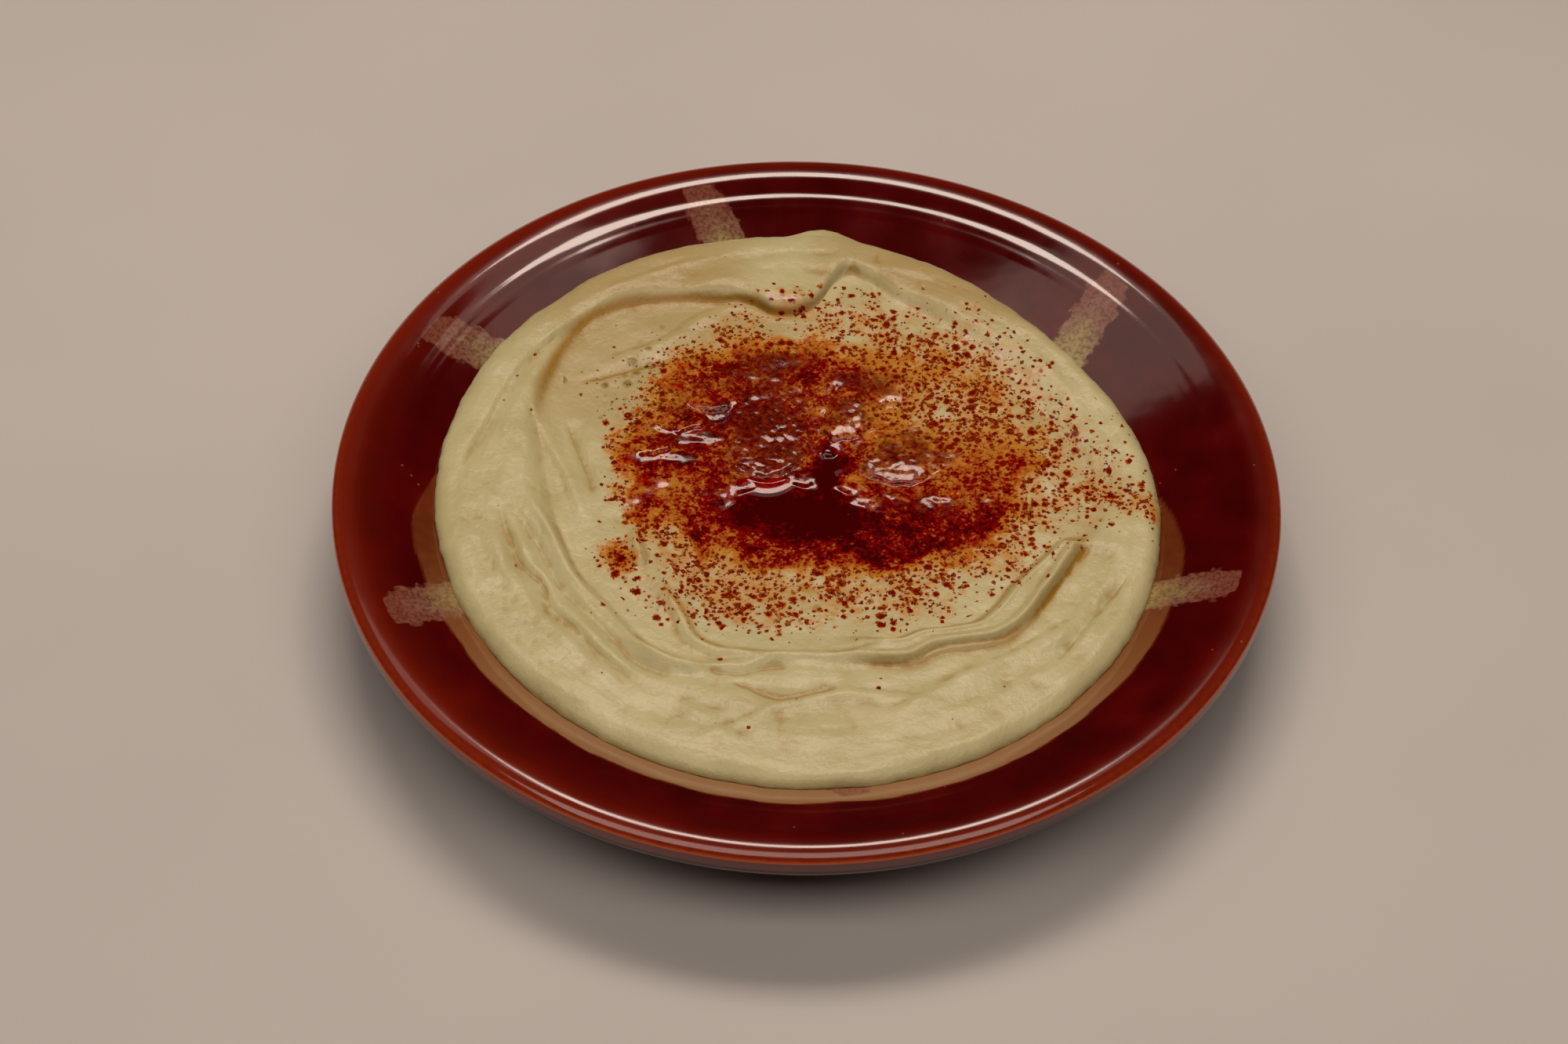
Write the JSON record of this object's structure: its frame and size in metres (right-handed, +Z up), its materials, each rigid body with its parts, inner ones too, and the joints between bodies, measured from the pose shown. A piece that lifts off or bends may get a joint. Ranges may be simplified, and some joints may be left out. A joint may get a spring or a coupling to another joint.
{
  "type": "hummus in a shallow dish",
  "caption": "Shallow round glazed clay dish filled with swirled chickpea dip, its hollow holding a pool of spiced oil, to set on a table as a starter.",
  "frame": {"origin": "centre of the foot ring's resting face, on the dish's axis", "axes": "+Z up along the dish's axis; -Y towards the diner, the side with the widest plain band of hummus; +X to the diner's right, where the standing ridge ends"},
  "size_m": [0.1998, 0.1998, 0.0278],
  "materials": {
    "glazed_clay": "gloss",
    "hummus_paste": "satin",
    "spiced_oil": "gloss"
  },
  "bodies": {
    "root": {"bowl": "glazed_clay", "hummus": "hummus_paste", "oil": "spiced_oil"}
  },
  "joints": []
}
